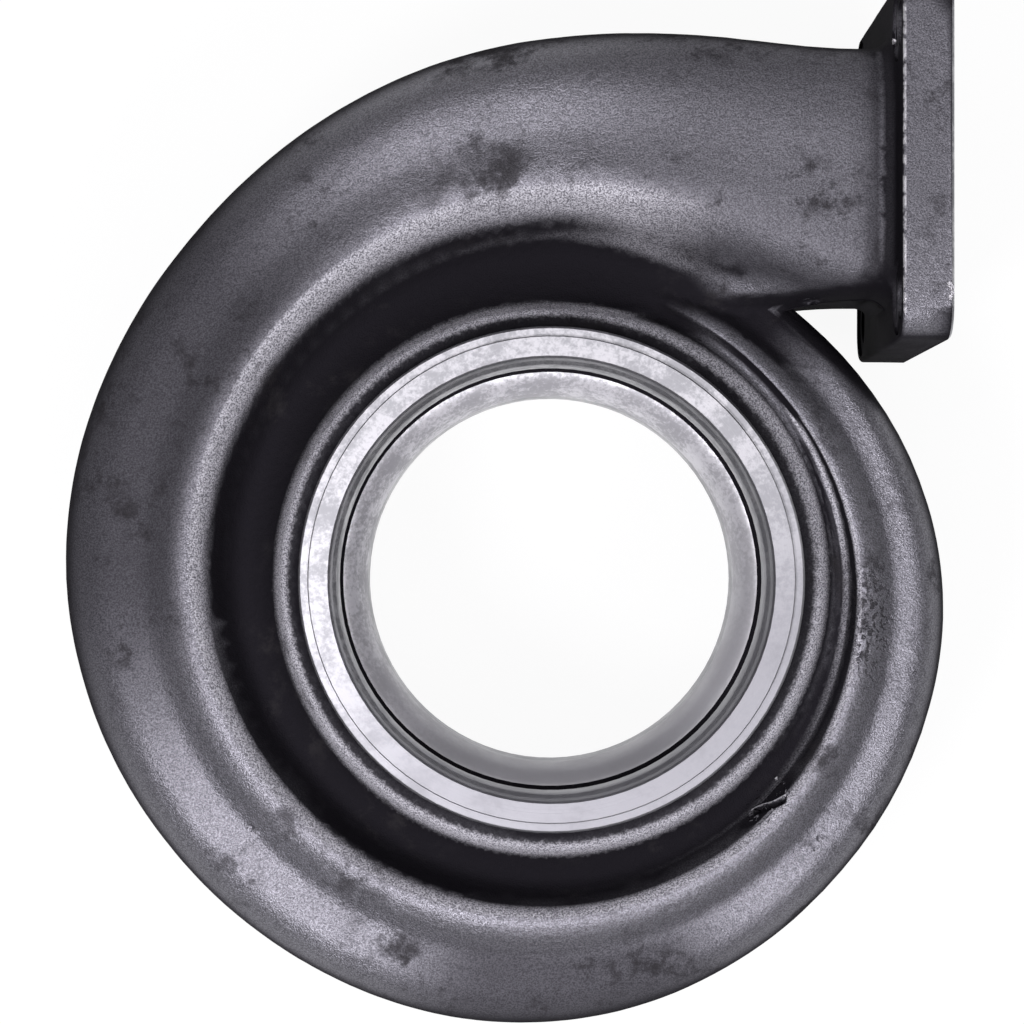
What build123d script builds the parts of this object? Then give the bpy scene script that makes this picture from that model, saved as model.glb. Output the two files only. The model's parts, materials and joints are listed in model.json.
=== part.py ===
# Twin scroll turbine housing of a large turbocharger, one iron casting.
# +Z is the turbine axis, from the outlet face (z = 0) up to the bearing side; +X points out of the
# inlet flange and +Y is the side that the inlet duct runs along. Lengths are in millimetres.
from build123d import *
import math
import os

# Radii about the axis: the wheel's throat, then each one a step out from the last
throat_radius = 59.5
wheel_step = 6.9
register_ledge = 1.1
ring_wall = 9.8
groove_depth = 4.7
neck_shoulder = 10.4
neck_flare = 3.5

# Machined ring on the bearing side, above the groove for its band clamp
ring_face_z = 128.0
ring_step_width = 3.0
ring_step_depth = 1.8
ring_rim_height = 3.4
register_depth = 12.0
machined_chamfer = 0.7
clamp_slope = 0.9

# Turbine bore below the ring: the nozzle slot, the shroud, the throat
nozzle_drop = 33.0
nozzle_width = 18.0
nozzle_reach = 9.0
throat_drop = 17.0
throat_length = 16.0

# Outlet neck and its clamp rim
outlet_step = 3.0
outlet_bore_length = 12.0
outlet_wall = 8.0
outlet_rim_width = 6.5
outlet_rim_height = 4.0
outlet_neck_height = 62.0

# Neck of the casting, under the clamp groove
neck_drop = 14.8
neck_bead_round = 3.5
neck_core_inset = 3.0

# Scroll: one value for each eighth of a turn, from under the duct clockwise round to the top
crest_reach = (10.5, 6.3, 10.3, 15.3, 18.7, 21.3, 25.5, 29.1, 35.0)
lobe_reach = (15.0, 22.6, 27.2, 28.7, 35.0, 37.8, 41.0, 41.1, 48.8)
crest_drop = (36.0, 17.0, 15.0, 13.2, 11.5, 9.5, 7.5, 5.8, 4.0)
valley_drop = (38.0, 19.7, 22.5, 25.0, 27.0, 27.5, 28.0, 28.0, 28.0)
trough_drop = (6.0, 6.0, 5.5, 6.5, 7.5, 7.5, 6.0, 4.0, 2.2)
back_drop = (20.0, 21.0, 23.0, 26.0, 29.0, 32.0, 35.0, 38.5, 42.0)
side_drop = 3.0
rear_crest_drop = 0.6
back_foot_drop = 23.5

# Where the points between those lie, as shares of the way from one to the next
valley_share = 0.4
flank_share = (0.52, 0.6)
trough_share = 0.34
rear_crest_share = 0.42
corner_share = 0.74

# Walls, and the tongue where the small end meets the duct
wall = 6.0
divider_thickness = 6.0
start_turn = 4.3
tongue_turn = 14.0
tongue_growth_turn = 76.0
tongue_size = 0.29

# Inlet duct and flange
flange_reach = 33.1
flange_rise = 40.1
flange_thickness = 15.6
flange_height = 108.8
flange_width = 125.0
flange_corner_radius = 10.0
flange_edge_round = 1.6
duct_lip_y = 16.2
duct_offset = 1.1
duct_lip_z = 19.5
duct_squareness = 5.0
duct_foot_radius = 5.6
bolt_edge_y = 13.1
bolt_edge_z = 13.5
bolt_hole_radius = 6.6
spot_face_radius = 11.4
spot_face_depth = 1.0

# Worked out from those
entry_radius = throat_radius + wheel_step
register_radius = entry_radius + register_ledge
ring_radius = register_radius + ring_wall
groove_radius = ring_radius - groove_depth
neck_bead_radius = groove_radius + neck_shoulder
neck_foot_radius = neck_bead_radius + neck_flare
neck_top_z = ring_face_z - neck_drop
passage_radius = entry_radius + nozzle_reach
nozzle_top_z = ring_face_z - nozzle_drop
nozzle_bottom_z = nozzle_top_z - nozzle_width
middle_z = (nozzle_top_z + nozzle_bottom_z) / 2
outlet_radius = throat_radius + outlet_step
outlet_neck_radius = outlet_radius + outlet_wall
flange_face_x = neck_foot_radius + flange_reach
duct_end_x = flange_face_x - flange_thickness
flange_center_y = neck_foot_radius + flange_rise
duct_center_y = flange_center_y - duct_offset
duct_height = flange_height - 2 * duct_lip_y
duct_width = flange_width - 2 * duct_lip_z
foot_arc = 75.0
duct_foot_x = duct_end_x + 0.4 - duct_foot_radius * math.sin(math.radians(foot_arc))


# A value that follows the scroll: share 0 is under the duct, 1 is a full turn later, at the top
def along(values, share):
    place = share * (len(values) - 1)
    step = min(int(place), len(values) - 2)
    t = place - step
    here, there = values[step], values[step + 1]
    before = values[step - 1] if step > 0 else 2 * here - there
    after = values[step + 2] if step + 2 < len(values) else 2 * there - here
    rise = (there - before) / 2
    fall = (after - here) / 2
    return (here * (1 + 2 * t) * (1 - t) ** 2 + rise * t * (1 - t) ** 2
            + there * t * t * (3 - 2 * t) - fall * t * t * (1 - t))


# A smooth change from 0 to 1
def ease(t):
    t = max(0.0, min(1.0, t))
    return t * t * (3 - 2 * t)


def between(a, b, share):
    return tuple(p + (q - p) * share for p, q in zip(a, b))


# The point halfway up the steep side of the front lobe
def flank_of(valley, crest):
    return (valley[0] + flank_share[0] * (crest[0] - valley[0]),
            valley[1] + flank_share[1] * (crest[1] - valley[1]))


# The point of a rounded shoulder between a crest and the widest point of a side
def corner_of(crest, side):
    return (crest[0] + corner_share * (side[0] - crest[0]), side[1] + corner_share * (crest[1] - side[1]))


# The points that skin and passages share, as (radius, height), drawn in by the inset
def lobe_points(share, inset):
    crest_r = neck_foot_radius + along(crest_reach, share)
    side = (crest_r + along(lobe_reach, share) - inset, middle_z - side_drop)
    crest = (crest_r + inset / wall, ring_face_z - along(crest_drop, share) - inset)
    valley = (between((neck_foot_radius, 0), crest, valley_share)[0],
              ring_face_z - along(valley_drop, share) - inset)
    trough = (crest[0] + trough_share * (side[0] - crest[0]), crest[1] - along(trough_drop, share))
    rear = (trough[0] + rear_crest_share * (side[0] - trough[0]), trough[1] - rear_crest_drop)
    back = (trough[0] + 2, middle_z - along(back_drop, share) + inset)
    return valley, crest, trough, rear, side, back


# Outer outline of the casting in a half plane through the axis
def skin_outline(share):
    valley, crest, trough, rear, side, back = lobe_points(share, 0)
    bead = (neck_bead_radius, neck_top_z - neck_bead_round / 3)
    foot = (neck_bead_radius, middle_z - back_foot_drop)
    return [
        (groove_radius - neck_core_inset, neck_top_z),
        (neck_bead_radius - neck_bead_round, neck_top_z),
        bead,
        (neck_foot_radius - neck_flare / 5, (bead[1] + valley[1]) / 2),
        (neck_foot_radius + 0.3 * (valley[0] - neck_foot_radius), valley[1] + 0.15 * (bead[1] - valley[1])),
        valley,
        flank_of(valley, crest),
        crest,
        between(crest, (trough[0], between(crest, trough, 0.7)[1]), 0.5),
        trough,
        rear,
        corner_of(rear, side),
        side,
        corner_of(back, side),
        back,
        between(back, foot, 0.5),
        foot,
        (outlet_neck_radius + 4.5, foot[1] - 4.5),
        (outlet_neck_radius - 2.5, foot[1] - 12.5),
    ]


# Outline of the two gas passages together, a wall inside the skin and narrowed near the tongue
def core_outline(share):
    valley, crest, trough, rear, side, back = lobe_points(share, wall)
    inner = passage_radius
    points = [
        (inner, nozzle_top_z - 0.5),
        ((inner + valley[0]) / 2, (nozzle_top_z - 0.5 + min(valley[1], nozzle_top_z)) / 2),
        valley,
        flank_of(valley, crest),
        crest,
        trough,
        rear,
        corner_of(rear, side),
        side,
        corner_of(back, side),
        back,
        between(back, (inner, nozzle_bottom_z), 0.5),
        (inner + 6, nozzle_bottom_z - 1.5),
        (inner, nozzle_bottom_z + 0.5),
    ]
    growth = max(0.0, 1 - (360 * share - tongue_turn) / tongue_growth_turn)
    narrow = tongue_size + (1 - tongue_size) * (1 - growth ** 1.6)
    return [(inner + (r - inner) * narrow, middle_z + (z - middle_z) * narrow ** 0.5) for r, z in points]


# Where each outline point ends up on the duct's rounded rectangle, as a bearing in degrees
skin_bearings = (22, 27, 31, 35, 39, 44, 58, 74, 82, 92, 110, 135, 180, 225, 268, 296, 316, 325, 334)
core_bearings = (25, 33, 45, 58, 74, 90, 110, 135, 180, 225, 268, 296, 318, 335)

# Where the innermost points dive under the neck: steps from the neck's foot and the nozzle's two edges
skin_front_tuck = ((-11.5, 0.0), (-7.5, 2.0), (-4.0, 3.0), (-0.5, 3.8), (3.0, 4.4), (9.5, 5.5))
skin_rear_tuck = ((1.5, -13.0), (-6.5, -11.0), (-11.5, -7.0))
core_front_tuck = ((5.0, -3.0), (6.5, -1.5), (12.5, -0.4))
core_rear_tuck = ((5.5, 0.0), (5.0, 3.0))
skin_tuck_x = 45.0
core_tuck_x = 32.0


# How far along the outline each of its points lies, the same for every section
def spline_places(outline):
    points = outline(0.75)
    places = [0.0]
    for a, b in zip(points, points[1:]):
        places.append(places[-1] + math.dist(a, b))
    return [place / places[-1] for place in places]


# A section's wire: a spline through its points, closed by a straight line that the neck hides
def closed(points, outline):
    curve = Edge.make_spline(points, parameters=spline_places(outline))
    return Wire([curve, Edge.make_line(points[-1], points[0])])


# A section through the scroll, in the half plane at that share of the turn
def scroll_section(outline, share):
    angle = math.radians(90 - 360 * share)
    points = [Vector(r * math.cos(angle), r * math.sin(angle), z) for r, z in outline(share)]
    return closed(points, outline)


# A rounded rectangle's edge in the direction of a bearing, 0 towards the axis and 90 to the bearing side
def duct_edge(bearing, inset):
    half_y = duct_height / 2 - inset
    half_z = duct_width / 2 - inset
    y, z = -math.cos(math.radians(bearing)), math.sin(math.radians(bearing))
    fullness = abs(y / half_y) ** duct_squareness + abs(z / half_z) ** duct_squareness
    reach = fullness ** (-1 / duct_squareness)
    return (duct_center_y + reach * y, middle_z + reach * z)


# A section of the duct at distance x from the axis: it starts as the scroll's last outline, its inner
# points dive under the neck of the casting, and it ends as the rounded rectangle at the flange
def duct_section(outline, bearings, x, inset, front, rear, tuck_x):
    start = outline(1.0)
    nudge = 0.01
    earlier = outline(1.0 - nudge)
    share = ease(x / (duct_end_x - 1.6 * duct_foot_radius))
    hidden = ease(x / tuck_x)
    points = []
    for k, (y, z) in enumerate(start):
        turn_length = math.tau * y * nudge
        drift = ((y - earlier[k][0]) / turn_length, (z - earlier[k][1]) / turn_length)
        free = (y + drift[0] * x, z + drift[1] * x)
        pull = share
        if k < len(front):
            tuck = (neck_foot_radius + front[k][0], nozzle_top_z + front[k][1])
            free = between((y, z), tuck, hidden)
            pull = share ** 2
        elif k >= len(start) - len(rear):
            step = rear[k - len(start)]
            tuck = (neck_foot_radius + step[0], nozzle_bottom_z + step[1])
            free = between((y, z), tuck, hidden)
        points.append(Vector(x, *between(free, duct_edge(bearings[k], inset), pull)))
    return closed(points, outline)


# The shares of the turn at which a loft round the scroll has its sections
def scroll_shares(first_turn):
    first = first_turn / 360
    return [first] + [k / 24 for k in range(1, 24) if k / 24 > 1.4 * first] + [0.985, 1.0]


# Distances along the duct of its sections, closer together where the outline changes fast
def duct_stations(length, count):
    return [length * (k / count) ** 1.15 for k in range(count + 1)]


# Outer skin: the scroll from under the duct round to the top, and the duct on to its foot
def scroll_skin():
    return Solid.make_loft([scroll_section(skin_outline, share) for share in scroll_shares(start_turn)])


def duct_skin():
    return Solid.make_loft([
        duct_section(skin_outline, skin_bearings, x, 0, skin_front_tuck, skin_rear_tuck, skin_tuck_x)
        for x in duct_stations(duct_foot_x, 11)
    ])


# The cove where the duct meets the flange: sections that widen along an arc, up to 15 degrees short of flat
def duct_foot():
    sections = []
    for k in range(6):
        turn = math.radians(k * foot_arc / 5)
        x = duct_foot_x + duct_foot_radius * math.sin(turn)
        grown = -duct_foot_radius * (1 - math.cos(turn))
        points = [Vector(x, *duct_edge(bearing, grown)) for bearing in skin_bearings]
        sections.append(closed(points, skin_outline))
    return Solid.make_loft(sections)


# Gas passages: the scroll's core and the duct's, before the divider parts them
def scroll_core():
    return Solid.make_loft([scroll_section(core_outline, share) for share in scroll_shares(tongue_turn)])


def duct_core():
    return Solid.make_loft([
        duct_section(core_outline, core_bearings, x, wall, core_front_tuck, core_rear_tuck, core_tuck_x)
        for x in duct_stations(flange_face_x + 1, 11)
    ])


# The divider between the two passages, from the nozzle slot to the flange face
def divider():
    reach = flange_center_y + flange_height
    return Pos(0, 0, middle_z) * Box(2 * reach, 2 * reach, divider_thickness)


# Everything turned about the axis: the ring and its groove, the neck, the outlet neck and its rim
def turned_body():
    edge = machined_chamfer
    rim_z = ring_face_z - ring_step_depth
    under_rim = rim_z - ring_rim_height
    step_radius = ring_radius - ring_step_width
    shoulder_z = neck_top_z - 0.15
    core_radius = neck_bead_radius - neck_core_inset
    rim_radius = outlet_neck_radius + outlet_rim_width
    inside = throat_radius - 9
    profile = [
        (inside, 0), (rim_radius - edge, 0), (rim_radius, edge), (rim_radius, outlet_rim_height),
        (outlet_neck_radius, outlet_rim_height + clamp_slope * outlet_rim_width),
        (outlet_neck_radius, outlet_neck_height), (core_radius, nozzle_bottom_z - 7),
        (core_radius, nozzle_top_z + 6), (neck_foot_radius - 1.2, neck_top_z - 8.2),
        (neck_foot_radius - 2.1, neck_top_z - 4.2), (neck_bead_radius - 0.2, shoulder_z - 1.25),
        (neck_bead_radius - neck_bead_round, shoulder_z), (groove_radius, shoulder_z),
        (groove_radius, under_rim - clamp_slope * groove_depth), (ring_radius, under_rim),
        (ring_radius, rim_z - edge), (ring_radius - edge, rim_z), (step_radius, rim_z),
        (step_radius, ring_face_z - edge / 2), (step_radius - edge / 2, ring_face_z), (inside, ring_face_z),
    ]
    return revolve(Plane.XZ * make_face(Polyline(profile + profile[:1])), Axis.Z)


# The bores cut from the bearing side down to the outlet, with the slot that feeds the wheel
def turned_bores():
    over = 1.0
    edge = machined_chamfer
    register_floor = ring_face_z - register_depth
    slot_radius = passage_radius + 0.5
    throat_z = nozzle_bottom_z - throat_drop
    straight = Polyline(
        (throat_radius, throat_z), (throat_radius, throat_z - throat_length),
        (outlet_radius, outlet_bore_length), (outlet_radius, -over), (0, -over), (0, ring_face_z + over),
        (register_radius + edge + over, ring_face_z + over), (register_radius, ring_face_z - edge),
        (register_radius, register_floor), (entry_radius, register_floor - 1.2), (entry_radius, nozzle_top_z),
        (slot_radius, nozzle_top_z), (slot_radius, nozzle_bottom_z), (entry_radius, nozzle_bottom_z),
    )
    shroud = Spline((entry_radius, nozzle_bottom_z), (throat_radius, throat_z),
                    tangents=((-0.9, -0.45), (0, -1)))
    return revolve(Plane.XZ * make_face(straight + shroud), Axis.Z)


# The flange plate, its corners and its back edges rounded as cast, its face left sharp
def flange():
    plate = Pos(duct_end_x + flange_thickness / 2, flange_center_y, middle_z) * Box(
        flange_thickness, flange_height, flange_width)
    plate = fillet(plate.edges().filter_by(Axis.X), flange_corner_radius)
    plate = fillet(plate.faces().sort_by(Axis.X)[0].edges(), flange_edge_round)
    return chamfer(plate.faces().sort_by(Axis.X)[-1].edges(), machined_chamfer)


# Four stud holes, each with a spot face on the flange's back for its nut
def bolt_holes():
    holes = Part()
    back = (Align.CENTER, Align.CENTER, Align.MIN)
    front = (Align.CENTER, Align.CENTER, Align.MAX)
    for side_y in (-1, 1):
        for side_z in (-1, 1):
            y = flange_center_y + side_y * (flange_height / 2 - bolt_edge_y)
            z = middle_z + side_z * (flange_width / 2 - bolt_edge_z)
            place = Pos(duct_end_x + spot_face_depth, y, z) * Rot(0, 90, 0)
            holes += place * Cylinder(bolt_hole_radius, flange_thickness, align=back)
            holes += place * Cylinder(spot_face_radius, spot_face_depth + duct_foot_radius + 1, align=front)
    return holes


def housing():
    body = scroll_skin() + duct_skin() + duct_foot() + turned_body() + flange()
    passages = scroll_core() + duct_core() - divider()
    return body - passages - turned_bores() - bolt_holes()


os.makedirs("parts", exist_ok=True)
export_step(housing(), "parts/turbine_housing.step")
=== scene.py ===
import json
import math

import bpy
import numpy as np
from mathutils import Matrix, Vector, noise
from mathutils.bvhtree import BVHTree

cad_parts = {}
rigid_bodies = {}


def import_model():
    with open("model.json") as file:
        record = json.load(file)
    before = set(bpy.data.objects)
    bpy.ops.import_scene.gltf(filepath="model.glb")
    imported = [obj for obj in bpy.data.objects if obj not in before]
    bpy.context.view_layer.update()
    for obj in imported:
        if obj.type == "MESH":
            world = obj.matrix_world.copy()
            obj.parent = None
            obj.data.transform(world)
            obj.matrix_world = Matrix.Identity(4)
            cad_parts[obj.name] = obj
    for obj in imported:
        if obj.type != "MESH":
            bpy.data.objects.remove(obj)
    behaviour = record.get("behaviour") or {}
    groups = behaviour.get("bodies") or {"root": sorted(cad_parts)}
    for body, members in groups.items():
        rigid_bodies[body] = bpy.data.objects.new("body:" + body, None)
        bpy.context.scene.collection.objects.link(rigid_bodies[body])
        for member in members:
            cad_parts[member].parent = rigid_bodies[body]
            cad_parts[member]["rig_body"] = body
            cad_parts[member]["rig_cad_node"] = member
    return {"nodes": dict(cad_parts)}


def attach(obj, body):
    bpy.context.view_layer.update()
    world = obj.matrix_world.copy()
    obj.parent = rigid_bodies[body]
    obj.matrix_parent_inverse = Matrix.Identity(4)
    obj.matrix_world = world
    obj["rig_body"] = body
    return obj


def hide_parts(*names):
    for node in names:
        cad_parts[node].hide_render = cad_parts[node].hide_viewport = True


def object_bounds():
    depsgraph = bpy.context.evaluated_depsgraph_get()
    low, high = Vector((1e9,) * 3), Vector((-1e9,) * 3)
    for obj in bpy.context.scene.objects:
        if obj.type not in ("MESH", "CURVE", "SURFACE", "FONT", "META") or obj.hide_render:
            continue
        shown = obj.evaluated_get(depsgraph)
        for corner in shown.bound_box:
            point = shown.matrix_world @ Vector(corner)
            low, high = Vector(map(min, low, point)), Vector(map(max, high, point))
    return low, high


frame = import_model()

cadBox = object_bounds()
print("frame loaded")

# straight down the turbine axis, a little off centre, as in the photograph
cameraSet = {
    "place": (-0.0084, 0.0054, 1.0417),
    "lens": 105.68,
    "sensor": 36.0,
    "shift": (-0.0117, 0.0488),
    "clip": (0.01, 50),
}


def makeCamera():
    bpy.ops.object.camera_add(location=cameraSet["place"], rotation=(0, 0, 0))
    camera = bpy.context.object
    camera.name = "viewCamera"
    camera.data.sensor_width = cameraSet["sensor"]
    camera.data.lens = cameraSet["lens"]
    camera.data.shift_x, camera.data.shift_y = cameraSet["shift"]
    camera.data.clip_start, camera.data.clip_end = cameraSet["clip"]
    bpy.context.scene.camera = camera


# soft boxes: place, what each looks at, width and height, power
lampSet = {
    "boxes": {
        "overhead": {"place": (-0.08, 0.22, 1.28), "aim": (-0.04, 0.10, 0.09),
                     "size": (1.70, 1.55), "power": 10.2},
        "lowerLeft": {"place": (-0.40, -0.38, 1.18), "aim": (-0.06, -0.06, 0.09),
                      "size": (0.24, 0.24), "power": 7.4},
        "lowerRight": {"place": (0.44, -0.36, 1.12), "aim": (0.06, -0.05, 0.09),
                       "size": (0.26, 0.26), "power": 2.6},
        "lowFront": {"place": (0.06, -0.86, 0.95), "aim": (0.0, 0.0, 0.08),
                     "size": (0.50, 0.34), "power": 4.2},
    },
    "colour": (0.985, 0.965, 1.0),
    "worldColour": (1, 1, 1, 1),
    "worldLevel": 0.06,
}


def makeLamps():
    for name, box in lampSet["boxes"].items():
        bpy.ops.object.light_add(type="AREA", location=box["place"])
        lamp = bpy.context.object
        lamp.name = name
        lamp.data.shape = "RECTANGLE"
        lamp.data.size, lamp.data.size_y = box["size"]
        lamp.data.energy = box["power"]
        lamp.data.color = lampSet["colour"]
        sight = Vector(box["aim"]) - lamp.location
        lamp.rotation_euler = sight.to_track_quat("-Z", "Y").to_euler()
    world = bpy.data.worlds.new("plainSky")
    world.use_nodes = True
    sky = world.node_tree.nodes["Background"]
    sky.inputs["Color"].default_value = lampSet["worldColour"]
    sky.inputs["Strength"].default_value = lampSet["worldLevel"]
    bpy.context.scene.world = world


# small helpers for the materials
def newPaint(name):
    paint = bpy.data.materials.new(name)
    paint.use_nodes = True
    tree = paint.node_tree
    place = tree.nodes.new("ShaderNodeTexCoord").outputs["Object"]
    return paint, tree, tree.nodes["Principled BSDF"], place


def addNoise(tree, place, settings):
    cloud = tree.nodes.new("ShaderNodeTexNoise")
    for name, value in zip(("Scale", "Detail", "Roughness"), settings):
        cloud.inputs[name].default_value = value
    tree.links.new(place, cloud.inputs["Vector"])
    return cloud.outputs["Fac"]


def addStep(tree, value, limits, results=(0.0, 1.0)):
    step = tree.nodes.new("ShaderNodeMapRange")
    step.interpolation_type = "SMOOTHSTEP"
    step.inputs["From Min"].default_value, step.inputs["From Max"].default_value = limits
    step.inputs["To Min"].default_value, step.inputs["To Max"].default_value = results
    tree.links.new(value, step.inputs["Value"])
    return step.outputs["Result"]


def fillSockets(tree, sockets, values):
    # a number or vector is set on its socket, and another node's output is linked to it
    for socket, value in zip(sockets, values):
        if isinstance(value, (float, tuple)):
            socket.default_value = value
        else:
            tree.links.new(value, socket)


def addMath(tree, operation, first, second):
    node = tree.nodes.new("ShaderNodeMath")
    node.operation = operation
    fillSockets(tree, node.inputs, (first, second))
    return node.outputs[0]


def addVector(tree, operation, values, output="Vector"):
    node = tree.nodes.new("ShaderNodeVectorMath")
    node.operation = operation
    fillSockets(tree, node.inputs, values)
    return node.outputs[output]


def addBlend(tree, share, first, second):
    blend = tree.nodes.new("ShaderNodeMix")
    blend.data_type = "RGBA"
    tree.links.new(share, blend.inputs["Factor"])
    sockets = [socket for socket in blend.inputs if socket.type == "RGBA"]
    colours = [value + (1,) if isinstance(value, tuple) else value for value in (first, second)]
    fillSockets(tree, sockets, colours)
    return [socket for socket in blend.outputs if socket.type == "RGBA"][0]


def addBump(tree, height, distance, under=None):
    bump = tree.nodes.new("ShaderNodeBump")
    bump.inputs["Strength"].default_value = 1.0
    bump.inputs["Distance"].default_value = distance
    tree.links.new(height, bump.inputs["Height"])
    if under is not None:
        tree.links.new(under, bump.inputs["Normal"])
    return bump.outputs["Normal"]


def addShare(tree, name):
    node = tree.nodes.new("ShaderNodeAttribute")
    node.attribute_name = name
    return node.outputs["Fac"]


def addDistance(tree, place, centre, stretch):
    offset = addVector(tree, "SUBTRACT", (place, centre))
    stretched = addVector(tree, "MULTIPLY", (offset, stretch))
    return addVector(tree, "LENGTH", (stretched,), "Value")


def addLess(tree, value, share):
    # one less a share of the value
    return addMath(tree, "SUBTRACT", 1.0, addMath(tree, "MULTIPLY", value, share))


# the floor glows white to the camera and in reflections, and still takes the shadow
floorSet = {
    "width": 60.0,
    "height": 0.0,
    "colour": (0.86, 0.86, 0.86, 1),
    "glow": 0.90,
    "glowLevel": 1.03,
}


def makeFloor():
    place = (0, 0, floorSet["height"])
    bpy.ops.mesh.primitive_plane_add(size=floorSet["width"], location=place)
    floor = bpy.context.object
    floor.name = "paleFloor"
    paint = bpy.data.materials.new("paleFloor")
    paint.use_nodes = True
    tree = paint.node_tree
    tree.nodes.clear()
    out = tree.nodes.new("ShaderNodeOutputMaterial")
    base = tree.nodes.new("ShaderNodeBsdfDiffuse")
    base.inputs["Color"].default_value = floorSet["colour"]
    glow = tree.nodes.new("ShaderNodeEmission")
    glow.inputs["Strength"].default_value = floorSet["glowLevel"]
    path = tree.nodes.new("ShaderNodeLightPath").outputs
    seen = addMath(tree, "ADD", path["Is Camera Ray"], path["Is Glossy Ray"])
    seen = addMath(tree, "ADD", seen, path["Is Transmission Ray"])
    seen.node.use_clamp = True
    mix = tree.nodes.new("ShaderNodeMixShader")
    tree.links.new(addMath(tree, "MULTIPLY", seen, floorSet["glow"]), mix.inputs[0])
    tree.links.new(base.outputs[0], mix.inputs[1])
    tree.links.new(glow.outputs[0], mix.inputs[2])
    tree.links.new(mix.outputs[0], out.inputs[0])
    floor.data.materials.append(paint)


# the cast skin; clouds of noise are given by scale, detail and roughness
ironSet = {
    "grain": (1900.0, 2.0, 0.6),
    "grainHeight": 0.00027,
    "grainFade": (0.32, 0.68),
    "lump": (380.0, 2.0, 0.5),
    "lumpHeight": 0.00030,
    "cloud": (26.0, 4.0, 0.6),
    "smoke": (60.0, 6.0, 0.75),
    "dull": (0.013, 0.012, 0.015),
    "dark": (0.146, 0.143, 0.162),
    "pale": (0.315, 0.310, 0.345),
    "soot": (0.030, 0.028, 0.030),
    "sootSmoke": (0.50, 0.66),
    "sootCloud": (0.42, 0.62),
    "sootShare": 0.6,
    "rubbedAndHighlight": (0.62, 0.61, 0.64),
    "metal": (0.07, 0.90),           # from the dull skin to bare iron
    "skinGloss": 0.0,
    "highlightDark": (0.150, 0.147, 0.166),
    "highlightPale": (0.600, 0.590, 0.640),
    "highlightFade": (0.34, 0.66),
    "highlightMetal": 0.65,               # how much metal the flanks with the painted highlight lose
    "wearShare": 0.5,                # of the clouds and of the soot in the roughness
    "wear": (0.15, 0.60),
    "roughness": (0.42, 0.58),
    # a patch of small pits on the smallest part of the scroll
    "pits": (560.0, 3.0, 0.6),
    "pitsAt": (0.0985, -0.0130, 0.1120),
    "pitsStretch": (1.0, 0.42, 0.6),
    "pitsReach": (0.0035, 0.0105),
    "pitsFade": (0.50, 0.60),
    "pitDepth": 0.00045,
    # the flange's back edge, knocked bright along its length
    "edgeAt": (0.1046, 0.0, 0.1482),
    "edgeStretch": (1.0, 0.0, 1.0),
    "edgeWidth": (0.00040, 0.00085),
    "edgeGaps": (0.38, 0.60),
}


def addPits(tree, place):
    far = addDistance(tree, place, ironSet["pitsAt"], ironSet["pitsStretch"])
    patch = addStep(tree, far, ironSet["pitsReach"], (1.0, 0.0))
    specks = addStep(tree, addNoise(tree, place, ironSet["pits"]), ironSet["pitsFade"])
    return addMath(tree, "MULTIPLY", patch, specks)


def addWornEdge(tree, place, lump):
    far = addDistance(tree, place, ironSet["edgeAt"], ironSet["edgeStretch"])
    line = addStep(tree, far, ironSet["edgeWidth"], (1.0, 0.0))
    return addMath(tree, "MULTIPLY", line, addStep(tree, lump, ironSet["edgeGaps"]))


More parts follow.
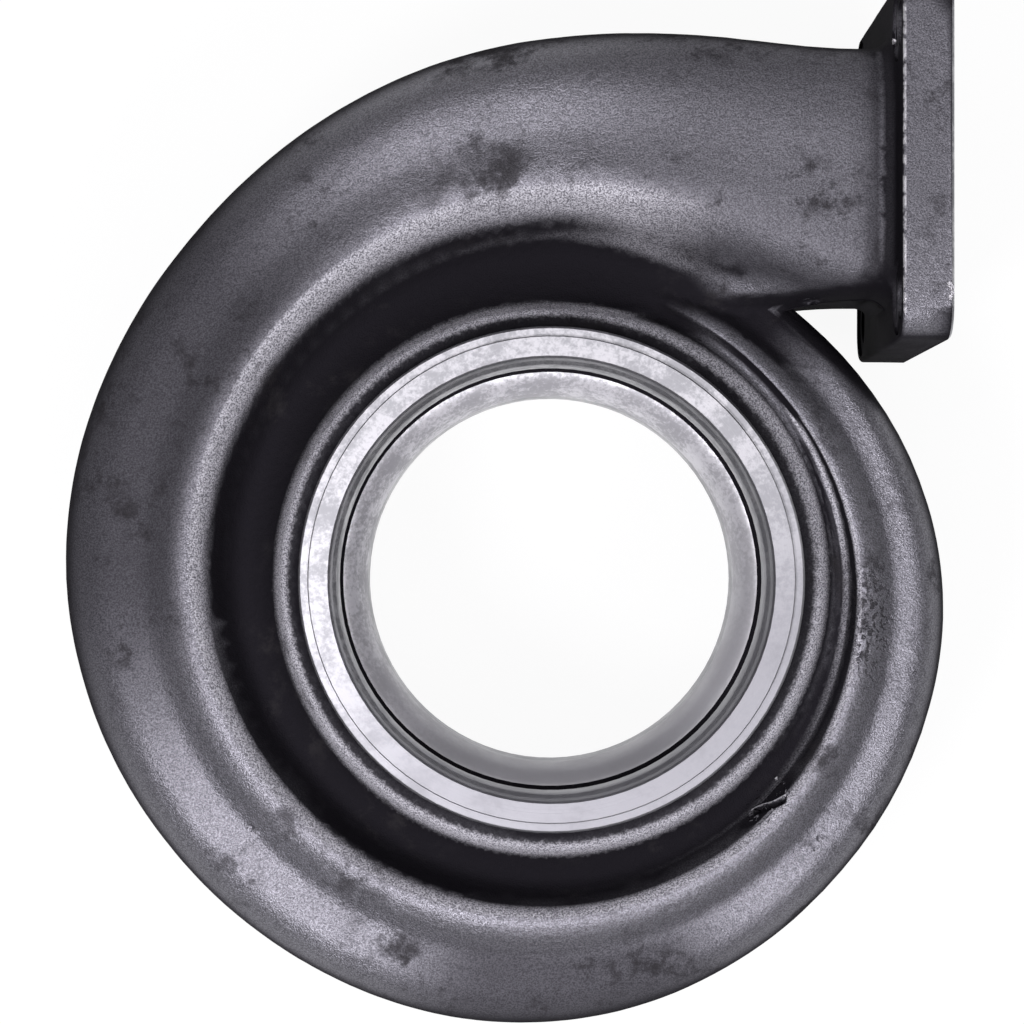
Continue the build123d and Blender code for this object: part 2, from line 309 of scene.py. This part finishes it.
def makeCastSkin():
    paint, tree, shader, place = newPaint("castSkin")
    grain, lump, cloud, smoke = (
        addNoise(tree, place, ironSet[name]) for name in ("grain", "lump", "cloud", "smoke"))
    # soot and pits lie in patches, and take off the bare iron and the painted highlight under
    # them
    pits = addPits(tree, place)
    patches = addMath(tree, "MULTIPLY", addStep(tree, smoke, ironSet["sootSmoke"]),
                      addStep(tree, cloud, ironSet["sootCloud"]))
    soot = addMath(tree, "MAXIMUM", patches, pits)
    unmarked = addLess(tree, soot, ironSet["sootShare"])
    bareAndPaintedLight = addMath(tree, "MULTIPLY", addShare(tree, "bareAndPaintedLight"), unmarked)
    paintedLit = addMath(tree, "MULTIPLY", addShare(tree, "paintedHighlight"), unmarked)
    bright = addMath(tree, "MAXIMUM", addShare(tree, "rubAndPaintedLight"), addWornEdge(tree, place, lump))
    # colour: black skin, grey bare iron with its painted light and shade, soot, pale flanks as a
    # painted highlight, knocked places
    iron = addBlend(tree, addStep(tree, grain, ironSet["grainFade"]),
                    ironSet["dark"], ironSet["pale"])
    # painted light and shade: the bare share paints open, upward places grey and keeps hollows
    # and shaded places black
    skin = addBlend(tree, bareAndPaintedLight, ironSet["dull"], iron)
    skin = addBlend(tree, addMath(tree, "MULTIPLY", soot, ironSet["sootShare"]),
                    skin, ironSet["soot"])
    # painted highlight: pale grain on the neck bead and the valley's outer flank
    flank = addBlend(tree, addStep(tree, grain, ironSet["highlightFade"]),
                     ironSet["highlightDark"], ironSet["highlightPale"])
    skin = addBlend(tree, paintedLit, skin, flank)
    skin = addBlend(tree, bright, skin, ironSet["rubbedAndHighlight"])
    tree.links.new(skin, shader.inputs["Base Color"])
    metal = addStep(tree, addMath(tree, "MAXIMUM", bareAndPaintedLight, bright), (0.0, 1.0), ironSet["metal"])
    metal = addMath(tree, "MULTIPLY", metal, addLess(tree, paintedLit, ironSet["highlightMetal"]))
    tree.links.new(metal, shader.inputs["Metallic"])
    shader.inputs["Specular IOR Level"].default_value = ironSet["skinGloss"]
    wear = addMath(tree, "ADD", addMath(tree, "MULTIPLY", cloud, ironSet["wearShare"]),
                   addMath(tree, "MULTIPLY", soot, ironSet["wearShare"]))
    tree.links.new(addStep(tree, wear, ironSet["wear"], ironSet["roughness"]),
                   shader.inputs["Roughness"])
    relief = addBump(tree, lump, ironSet["lumpHeight"])
    relief = addBump(tree, addMath(tree, "SUBTRACT", 1.0, pits), ironSet["pitDepth"], relief)
    relief = addBump(tree, grain, ironSet["grainHeight"], relief)
    tree.links.new(relief, shader.inputs["Normal"])
    return paint


turnedSet = {
    "pale": (0.55, 0.545, 0.57),
    "grey": (0.36, 0.36, 0.38),
    "lowerShade": (0.290, 0.288, 0.310),
    "metallic": 1.0,
    "roughness": (0.38, 0.55),
}

# painted light: the shroud's contour is a paler, rougher and less metallic copy of the turned
# iron, so that it reads bright
litShroudSet = {
    "pale": (0.86, 0.85, 0.89),
    "grey": (0.52, 0.515, 0.545),
    "lowerShade": (0.52, 0.515, 0.54),
    "metallic": 0.45,
    "roughness": (0.45, 0.62),
}

# what every turned face has: mottling, painted shade towards its lower right side, and turning
# marks
cutSet = {
    "cloud": (70.0, 5.0, 0.65),
    "speck": (700.0, 3.0, 0.7),
    "cloudShare": 0.6,
    "speckShare": 0.4,
    "mottleFade": (0.42, 0.57),
    "roughFade": (0.36, 0.66),
    "shadeAlong": (-0.35, 0.94, 0.0),
    "shadeFade": (-0.055, 0.040),
    "rubbedAndHighlight": (0.86, 0.85, 0.88),
    "acrossAxis": (1.0, 1.0, 0.0),
    "heightShare": 0.83,
    "ringScale": 2600.0,
    "ringDetail": 3.0,
    "ringHeight": 0.00002,
}


def addTurningMarks(tree, place):
    # fine rings over the radius and the height
    flat = addVector(tree, "MULTIPLY", (place, cutSet["acrossAxis"]))
    radius = addVector(tree, "LENGTH", (flat,), "Value")
    split = tree.nodes.new("ShaderNodeSeparateXYZ")
    tree.links.new(place, split.inputs[0])
    height = addMath(tree, "MULTIPLY", split.outputs["Z"], cutSet["heightShare"])
    rings = tree.nodes.new("ShaderNodeTexNoise")
    rings.noise_dimensions = "1D"
    rings.inputs["Scale"].default_value = cutSet["ringScale"]
    rings.inputs["Detail"].default_value = cutSet["ringDetail"]
    tree.links.new(addMath(tree, "ADD", radius, height), rings.inputs["W"])
    return addBump(tree, rings.outputs["Fac"], cutSet["ringHeight"])


def makeTurnedIron(name, finish):
    paint, tree, shader, place = newPaint(name)
    cloud = addNoise(tree, place, cutSet["cloud"])
    speck = addNoise(tree, place, cutSet["speck"])
    mottle = addMath(tree, "ADD", addMath(tree, "MULTIPLY", cloud, cutSet["cloudShare"]),
                     addMath(tree, "MULTIPLY", speck, cutSet["speckShare"]))
    colour = addBlend(tree, addStep(tree, mottle, cutSet["mottleFade"]),
                      finish["pale"], finish["grey"])
    # painted shade: darker towards the lower right
    along = addVector(tree, "DOT_PRODUCT", (place, cutSet["shadeAlong"]), "Value")
    colour = addBlend(tree, addStep(tree, along, cutSet["shadeFade"]), finish["lowerShade"], colour)
    colour = addBlend(tree, addShare(tree, "rubAndPaintedLight"), colour, cutSet["rubbedAndHighlight"])
    tree.links.new(colour, shader.inputs["Base Color"])
    shader.inputs["Metallic"].default_value = finish["metallic"]
    tree.links.new(addStep(tree, mottle, cutSet["roughFade"], finish["roughness"]),
                   shader.inputs["Roughness"])
    tree.links.new(addTurningMarks(tree, place), shader.inputs["Normal"])
    return paint


# the housing itself: where it is machined, and how uneven the sand left its skin
castingSet = {
    "weld": 1e-7,              # loose triangles meet at equal corners
    "evenNormals": 0.9995,     # corners whose normals agree lie on one smooth surface
    "evenShare": 0.99,         # so do new corners between two of them
    "smoothAngle": 40,
    "ringRadius": 0.0776,      # turned clamp ring and the groove under it
    "ringFoot": 0.1190,
    "grooveRadius": 0.0731,
    "grooveFoot": 0.1138,
    "boreRadius": 0.0667,      # register, entry, shroud, throat and outlet
    "shroud": (0.055, 0.0785),
    "outletRadius": 0.0776,
    "outletTop": 0.0072,
    "gasketFace": 0.1188,
    "gasketFacing": 0.5,
    "flangeFoot": 0.0700,
    "longestEdge": 0.0120,
    "neckEdge": 0.0024,        # finer round the neck bead
    "neckReach": 0.0890,
    "neckFoot": 0.1000,
    "edgeRounds": 4,
    "swell": 0.00028,          # slow swelling of the mould
    "swellLength": 0.026,
    "ripple": 0.00009,
    "rippleLength": 0.008,
}


def isTurned(centre, normal):
    radius = math.hypot(centre.x, centre.y)
    ring = radius < castingSet["ringRadius"] and centre.z > castingSet["ringFoot"]
    groove = radius < castingSet["grooveRadius"] and centre.z > castingSet["grooveFoot"]
    bore = radius < castingSet["boreRadius"]
    outlet = radius < castingSet["outletRadius"] and centre.z < castingSet["outletTop"]
    onFlange = centre.x > castingSet["gasketFace"] and centre.y > castingSet["flangeFoot"]
    gasket = onFlange and normal.x > castingSet["gasketFacing"]
    return ring or groove or bore or outlet or gasket


def isShroud(centre, normal):
    inside = math.hypot(centre.x, centre.y) < castingSet["boreRadius"]
    return inside and castingSet["shroud"][0] < centre.z < castingSet["shroud"][1]


def paintFaces(piece, test, slot):
    bpy.ops.object.mode_set(mode="EDIT")
    bpy.ops.mesh.select_mode(type="FACE")
    bpy.ops.mesh.select_all(action="DESELECT")
    bpy.ops.object.mode_set(mode="OBJECT")
    for face in piece.data.polygons:
        face.select = test(face.center, face.normal)
    bpy.ops.object.mode_set(mode="EDIT")
    piece.active_material_index = slot
    bpy.ops.object.material_slot_assign()
    bpy.ops.object.mode_set(mode="OBJECT")


def readVectors(items, name):
    values = np.empty(len(items) * 3)
    items.foreach_get(name, values)
    return values.reshape(-1, 3)


def readNumbers(items, name, width=1, kind=int):
    values = np.empty(len(items) * width, dtype=kind)
    items.foreach_get(name, values)
    return values.reshape(-1, width) if width > 1 else values


def divideEdges(piece, chosen, rounds):
    # every edge that is chosen by its middle and length is halved, again and again
    for _ in range(rounds):
        mesh = piece.data
        ends = readVectors(mesh.vertices, "co")[readNumbers(mesh.edges, "vertices", 2)]
        lengths = np.linalg.norm(ends[:, 0] - ends[:, 1], axis=1)
        picked = chosen((ends[:, 0] + ends[:, 1]) / 2, lengths)
        if not picked.any():
            break
        bpy.ops.object.mode_set(mode="EDIT")
        bpy.ops.mesh.select_mode(type="EDGE")
        bpy.ops.mesh.select_all(action="DESELECT")
        bpy.ops.object.mode_set(mode="OBJECT")
        piece.data.edges.foreach_set("select", picked)
        bpy.ops.object.mode_set(mode="EDIT")
        bpy.ops.mesh.subdivide(number_cuts=1)
        bpy.ops.mesh.select_all(action="SELECT")
        bpy.ops.mesh.quads_convert_to_tris()
        bpy.ops.object.mode_set(mode="OBJECT")


def longOnSkin(middles, lengths):
    reach = np.hypot(middles[:, 0], middles[:, 1])
    onGasket = middles[:, 0] > castingSet["gasketFace"]
    onGasket &= middles[:, 1] > castingSet["flangeFoot"]
    neck = (reach < castingSet["neckReach"]) & (middles[:, 2] > castingSet["neckFoot"])
    limit = np.where(neck, castingSet["neckEdge"], castingSet["longestEdge"])
    return (reach > castingSet["ringRadius"]) & ~onGasket & (lengths > limit)


def copyNode():
    bpy.ops.object.select_all(action="DESELECT")
    node = frame["nodes"]["turbine_housing"]
    node.select_set(True)
    bpy.context.view_layer.objects.active = node
    bpy.ops.object.duplicate()
    piece = bpy.context.object
    piece.name = "castHousing"
    piece.parent = None
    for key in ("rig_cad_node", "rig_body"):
        if key in piece:
            del piece[key]
    weld = piece.modifiers.new("joinCorners", "WELD")
    weld.merge_threshold = castingSet["weld"]
    bpy.ops.object.modifier_apply(modifier="joinCorners")
    keepNormals(piece.data)
    bpy.ops.mesh.customdata_custom_splitnormals_clear()
    return piece


def keepNormals(mesh):
    # the exact normals of smooth surfaces are kept, so that highlights run clean over them
    points = readNumbers(mesh.loops, "vertex_index")
    normals = readVectors(mesh.corner_normals, "vector")
    mean = np.zeros((len(mesh.vertices), 3))
    np.add.at(mean, points, normals)
    mean /= np.linalg.norm(mean, axis=1)[:, None]
    even = np.ones(len(mesh.vertices))
    agree = (normals * mean[points]).sum(axis=1) > castingSet["evenNormals"]
    np.minimum.at(even, points, agree)
    kept = mesh.attributes.new("trueNormal", "FLOAT_VECTOR", "POINT")
    kept.data.foreach_set("vector", mean.ravel())
    mesh.attributes.new("even", "FLOAT", "POINT").data.foreach_set("value", even)


def setNormals(mesh, before):
    # kept normals, turned by what the flaws and swellings did to the mesh's own
    points = readNumbers(mesh.loops, "vertex_index")
    kept = readVectors(mesh.attributes["trueNormal"].data, "vector")
    even = readNumbers(mesh.attributes["even"].data, "value", kind=float)
    even = even > castingSet["evenShare"]
    after = readVectors(mesh.vertex_normals, "vector")
    corner = readVectors(mesh.corner_normals, "vector")
    turned = kept / np.linalg.norm(kept, axis=1)[:, None] + after - before
    final = np.where(even[points][:, None], turned[points], corner)
    final /= np.linalg.norm(final, axis=1)[:, None]
    mesh.normals_split_custom_set([tuple(normal) for normal in final])
    mesh.attributes.remove(mesh.attributes["trueNormal"])
    mesh.attributes.remove(mesh.attributes["even"])


# single flaws of the casting: where they are, how large, and how far round them the mesh is fine
flawSet = {
    "fineEdge": 0.00045,
    "fineRounds": 9,
    "longPit": {
        "from": (0.0618, -0.0725, 0.1048), "to": (0.0727, -0.0660, 0.1122), "reach": 0.0080,
        "lip": 0.00040, "lipWidth": 0.00045, "lipEnds": 0.2, "lipShare": 0.7, "lipHighlight": 0.35,
        "hollow": 0.0011, "hollowWidth": 0.0012, "hollowShade": 1.5,
        "wobble": 0.0005, "wobbleScale": 150, "bend": 0.0006, "bendTurns": 2.6,
        "ragged": 0.25, "raggedScale": 420,
    },
    "holes": [
        {"at": (0.0834, -0.0805, 0.1077), "radius": 0.00075, "depth": 0.0007},
        {"at": (0.0822, -0.0838, 0.1078), "radius": 0.00065, "depth": 0.0006},
        {"at": (-0.0929, -0.0767, 0.1117), "radius": 0.0007, "depth": 0.0006},
    ],
    "holeReach": 2.2,
    "holeSlope": 1.5,
    "flash": {"at": (0.0815, 0.0868, 0.1035), "radius": 0.0042, "height": 0.0016},
    "flashReach": 1.2,
    "flashScale": 480,
    "flashLevel": 0.25,
    "chips": [
        {"at": (0.0703, -0.0622, 0.1039), "radius": 0.0004, "depth": 0.0001},
        {"at": (0.1184, 0.0880, 0.1485), "radius": 0.0008, "depth": 0.0004},
        {"at": (0.1190, 0.0868, 0.1483), "radius": 0.0010, "depth": 0.0004},
        {"at": (0.1191, 0.0852, 0.1483), "radius": 0.0009, "depth": 0.0004},
        {"at": (0.1184, 0.0840, 0.1485), "radius": 0.0007, "depth": 0.0003},
        {"at": (0.1042, 0.1644, 0.1240), "radius": 0.0010, "depth": 0.0003},
    ],
    "chipReach": 2.0,
    "chipRagged": 0.45,
    "chipScale": 900,
}


def nearFlaw(middles, lengths):
    pit, flash = flawSet["longPit"], flawSet["flash"]
    spots = [(Vector(pit["from"]).lerp(Vector(pit["to"]), 0.5), pit["reach"])]
    spots.append((Vector(flash["at"]), flash["radius"] * flawSet["flashReach"]))
    for hole in flawSet["holes"]:
        spots.append((Vector(hole["at"]), hole["radius"] * flawSet["holeReach"]))
    for chip in flawSet["chips"]:
        spots.append((Vector(chip["at"]), chip["radius"] * flawSet["chipReach"]))
    near = np.zeros(len(lengths), dtype=bool)
    for spot, reach in spots:
        near |= np.linalg.norm(middles - np.array(spot), axis=1) < reach + lengths / 2
    return near & (lengths > flawSet["fineEdge"])


def longPitStep(place, out):
    # a thin raised lip on the valley side, painted bright as a highlight, and a ragged hollow
    # above it, painted black as shade
    pit = flawSet["longPit"]
    start, end = Vector(pit["from"]), Vector(pit["to"])
    offset = place - (start + end) / 2
    if offset.length >= pit["reach"]:
        return 0.0, 0.0
    along = (end - start).normalized()
    travel = offset.dot(along) / ((end - start).length / 2)
    upward = out.cross(along).normalized()
    if upward.z < 0:
        upward = -upward
    side = offset.dot(upward) - pit["wobble"] * noise.noise(place * pit["wobbleScale"])
    side -= pit["bend"] * math.sin(travel * pit["bendTurns"])
    ends = max(0.0, 1 - abs(travel) ** 4)
    step = pit["lip"] * ends * math.exp(-(side / pit["lipWidth"]) ** 2)
    hollowSide = side - pit["hollowWidth"] - pit["lipWidth"]
    ragged = 1 + pit["ragged"] * noise.noise(place * pit["raggedScale"])
    inHollow = ends * math.exp(-(hollowSide / pit["hollowWidth"]) ** 4)
    step -= pit["hollow"] * ragged * inHollow
    onLip = ends > pit["lipEnds"] and abs(side) < pit["lipWidth"] * pit["lipShare"]
    return step, pit["lipHighlight"] if onLip else -min(1.0, pit["hollowShade"] * inHollow)


def flawStep(place, out):
    # how far a corner moves along its normal, and how bright (or, below zero, black) it is:
    # bright for chips, a painted highlight on the pit's lip and painted shade in its hollow
    step, rubAndPaintedLight = longPitStep(place, out)
    for hole in flawSet["holes"]:
        far = (place - Vector(hole["at"])).length / hole["radius"]
        if far < flawSet["holeReach"]:
            step -= hole["depth"] * math.exp(-far ** 2 * flawSet["holeSlope"])
    for chip in flawSet["chips"]:
        far = (place - Vector(chip["at"])).length / chip["radius"]
        far += flawSet["chipRagged"] * noise.noise(place * flawSet["chipScale"])
        if far < 1.0:
            step -= chip["depth"] * (1 - far ** 2)
            rubAndPaintedLight = 1.0
    flash = flawSet["flash"]
    far = (place - Vector(flash["at"])).length / flash["radius"]
    if far < 1.0:
        torn = max(0.0, noise.noise(place * flawSet["flashScale"]) + flawSet["flashLevel"])
        step += flash["height"] * (1 - far ** 2) * torn
    return step, rubAndPaintedLight


def moveCorners(piece, moves):
    # all moves are worked out before the first, because a moved corner changes the normals
    for index, step in moves.items():
        piece.data.vertices[index].co += step


def makeFlaws(piece):
    rubAndPaintedLightData = piece.data.attributes.new("rubAndPaintedLight", "FLOAT", "POINT")
    moves = {}
    for corner in piece.data.vertices:
        step, rubAndPaintedLight = flawStep(corner.co, corner.normal)
        rubAndPaintedLightData.data[corner.index].value = rubAndPaintedLight
        if step:
            moves[corner.index] = step * corner.normal
    moveCorners(piece, moves)
    print("flaws made,", len(moves), "corners moved")


def swellSkin(piece):
    # slow swelling and ripples of the sand mould, always inwards, and none on turned faces
    turned = set()
    for face in piece.data.polygons:
        if isTurned(face.center, face.normal):
            turned.update(face.vertices)
    moves = {}
    for corner in piece.data.vertices:
        if corner.index not in turned:
            slow = 0.5 + 0.5 * noise.noise(corner.co / castingSet["swellLength"])
            quick = 0.5 + 0.5 * noise.noise(corner.co / castingSet["rippleLength"])
            depth = castingSet["swell"] * slow + castingSet["ripple"] * quick
            moves[corner.index] = corner.normal * -depth
    moveCorners(piece, moves)
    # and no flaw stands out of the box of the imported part
    places = np.clip(readVectors(piece.data.vertices, "co"), *np.array(cadBox))
    piece.data.vertices.foreach_set("co", places.ravel())
    piece.data.update()
    return moves


# where the skin is bare iron, and where light and shade are painted on it: most pairs are where
# a fade starts and ends
wearAndPaintedLightSet = {
    "looks": 48,                       # rays that measure how open a place lies
    "sight": 0.08,
    "lift": 0.0006,
    "leastShare": 0.1,
    # painted light and shade: how open a place lies and how far it faces upward decide how bare
    # and bright it is painted
    "open": (0.54, 0.82),
    "facing": (0.30, 0.78),
    "leastSide": 0.07,
    "valleyFoot": 0.095,               # painted shade: the valley floor keeps its black skin
    "floorReach": 0.108,
    "floorFade": (0.1035, 0.1085),
    "flankInward": (0.20, 0.45),       # painted highlight: the valley's outer flank is painted pale
    "flankFacing": (0.42, 0.66),
    "flankEnd": (0.015, 0.060),        # towards the duct it stays black
    "ductSide": 0.05,
    "beadFrom": (0.0812, 0.0828),      # painted highlight: the neck bead is painted pale on its outer side
    "beadTo": (0.0854, 0.0874),
    "beadFoot": (0.1010, 0.1040),
    "beadTop": 0.1195,
    # painted shade: the neck inside the bead and the flange's spot faces keep this share of bare
    # iron
    "paintedShadeShare": 0.12,
    "backStrip": (0.1003, 0.1041),     # painted shade: the flange's spot faces stay black
    # painted shade on areas of the outer lobe: bearing in degrees, half width, how dark
    "shadedBearings": [(-88, 34, 0.72), (-200, 60, 0.78), (60, 36, 0.45)],
    "shadedCore": 0.3,
    "shadedFrom": (0.108, 0.120),
}


def fade(value, limits):
    low, high = limits
    share = min(1.0, max(0.0, (value - low) / (high - low)))
    return share * share * (3 - 2 * share)


def lookRound():
    # even directions over the whole sphere
    turn = math.pi * (3 - math.sqrt(5))
    looks = []
    for k in range(wearAndPaintedLightSet["looks"]):
        height = 1 - 2 * (k + 0.5) / wearAndPaintedLightSet["looks"]
        flat = math.sqrt(1 - height * height)
        looks.append(Vector((flat * math.cos(turn * k), flat * math.sin(turn * k), height)))
    return looks


def openShare(tree, looks, start, out):
    seen, free = 0.0, 0.0
    for look in looks:
        share = look.dot(out)
        if share > wearAndPaintedLightSet["leastShare"]:
            seen += share
            if tree.ray_cast(start, look, wearAndPaintedLightSet["sight"])[0] is None:
                free += share
    return free / seen


def bareAndPaintedLightShare(start, out, openness, unmarked):
    # painted light and shade: open places facing upward are painted as bright bare iron, while
    # hollows, steep sides, the dimmer bearings, the neck, the spot faces and the valley floor
    # keep the black skin
    reach = math.hypot(start.x, start.y)
    bareAndPaintedLight = fade(openness, wearAndPaintedLightSet["open"])
    onNeck = wearAndPaintedLightSet["beadFoot"][0] < start.z < wearAndPaintedLightSet["beadTop"]
    if reach < wearAndPaintedLightSet["beadTo"][1] and onNeck:
        bareAndPaintedLight *= wearAndPaintedLightSet["paintedShadeShare"]
    bearing = math.degrees(math.atan2(start.y, start.x))
    for middle, spread, dull in wearAndPaintedLightSet["shadedBearings"]:
        apart = abs((bearing - middle + 180) % 360 - 180)
        inside = 1 - fade(apart, (wearAndPaintedLightSet["shadedCore"] * spread, spread))
        bareAndPaintedLight *= 1 - dull * inside * fade(reach, wearAndPaintedLightSet["shadedFrom"])
    onStrip = wearAndPaintedLightSet["backStrip"][0] < start.x < wearAndPaintedLightSet["backStrip"][1]
    if onStrip and start.y > castingSet["flangeFoot"]:
        bareAndPaintedLight *= wearAndPaintedLightSet["paintedShadeShare"]
    if reach < wearAndPaintedLightSet["floorReach"] and start.z > wearAndPaintedLightSet["valleyFoot"]:
        bareAndPaintedLight *= fade(start.z, wearAndPaintedLightSet["floorFade"])
    bareAndPaintedLight *= unmarked
    facing = fade(out.z, wearAndPaintedLightSet["facing"])
    return bareAndPaintedLight * (wearAndPaintedLightSet["leastSide"] + (1 - wearAndPaintedLightSet["leastSide"]) * facing)


def paintedHighlightShare(start, out):
    # painted highlight on the neck bead and on the valley's outer flank
    reach = math.hypot(start.x, start.y)
    bead = 0.0
    if reach < wearAndPaintedLightSet["beadTo"][1] and wearAndPaintedLightSet["beadFoot"][0] < start.z < wearAndPaintedLightSet["beadTop"]:
        bead = fade(reach, wearAndPaintedLightSet["beadFrom"]) * (1 - fade(reach, wearAndPaintedLightSet["beadTo"]))
        bead *= fade(start.z, wearAndPaintedLightSet["beadFoot"])
    inward = -(out.x * start.x + out.y * start.y) / reach
    flank = fade(inward, wearAndPaintedLightSet["flankInward"]) * fade(out.z, wearAndPaintedLightSet["flankFacing"])
    flank *= fade(start.z, wearAndPaintedLightSet["floorFade"])
    if start.y > wearAndPaintedLightSet["ductSide"]:
        flank *= 1 - fade(start.x, wearAndPaintedLightSet["flankEnd"])
    return max(bead, flank)


def markWearAndPaintedLight(piece, skin):
    tree = BVHTree.FromObject(piece, bpy.context.evaluated_depsgraph_get())
    looks = lookRound()
    piece.data.attributes.new("bareAndPaintedLight", "FLOAT", "POINT")
    piece.data.attributes.new("paintedHighlight", "FLOAT", "POINT")
    bareAndPaintedLight, paintedHighlight, rubAndPaintedLight = (piece.data.attributes[name].data for name in ("bareAndPaintedLight", "paintedHighlight", "rubAndPaintedLight"))
    for corner in piece.data.vertices:
        if corner.index in skin:
            out = corner.normal
            start = corner.co + out * wearAndPaintedLightSet["lift"]
            # painted shade: the pit's hollow takes the bare iron and the painted highlight away
            unmarked = 1 + min(0.0, rubAndPaintedLight[corner.index].value)
            openness = openShare(tree, looks, start, out)
            bareAndPaintedLight[corner.index].value = bareAndPaintedLightShare(start, out, openness, unmarked)
            paintedHighlight[corner.index].value = paintedHighlightShare(start, out) * unmarked
    print("bare and worn places marked")


def makeHousing():
    piece = copyNode()
    divideEdges(piece, longOnSkin, castingSet["edgeRounds"])
    print("skin divided,", len(piece.data.polygons), "faces")
    divideEdges(piece, nearFlaw, flawSet["fineRounds"])
    before = readVectors(piece.data.vertex_normals, "vector")
    makeFlaws(piece)
    markWearAndPaintedLight(piece, swellSkin(piece))
    piece.data.materials.clear()
    piece.data.materials.append(makeCastSkin())
    piece.data.materials.append(makeTurnedIron("turnedIron", turnedSet))
    piece.data.materials.append(makeTurnedIron("shroudPaintedLight", litShroudSet))
    paintFaces(piece, isTurned, 1)
    # painted light: the shroud takes the paler copy of the turned iron
    paintFaces(piece, isShroud, 2)
    bpy.ops.object.shade_smooth_by_angle(angle=math.radians(castingSet["smoothAngle"]))
    setNormals(piece.data, before)
    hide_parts("turbine_housing")
    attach(piece, "root")
    print("housing made,", len(piece.data.polygons), "faces")


makeCamera()
makeLamps()
makeFloor()
print("camera, lamps and floor made")
makeHousing()
bpy.context.scene.view_settings.view_transform = "Standard"
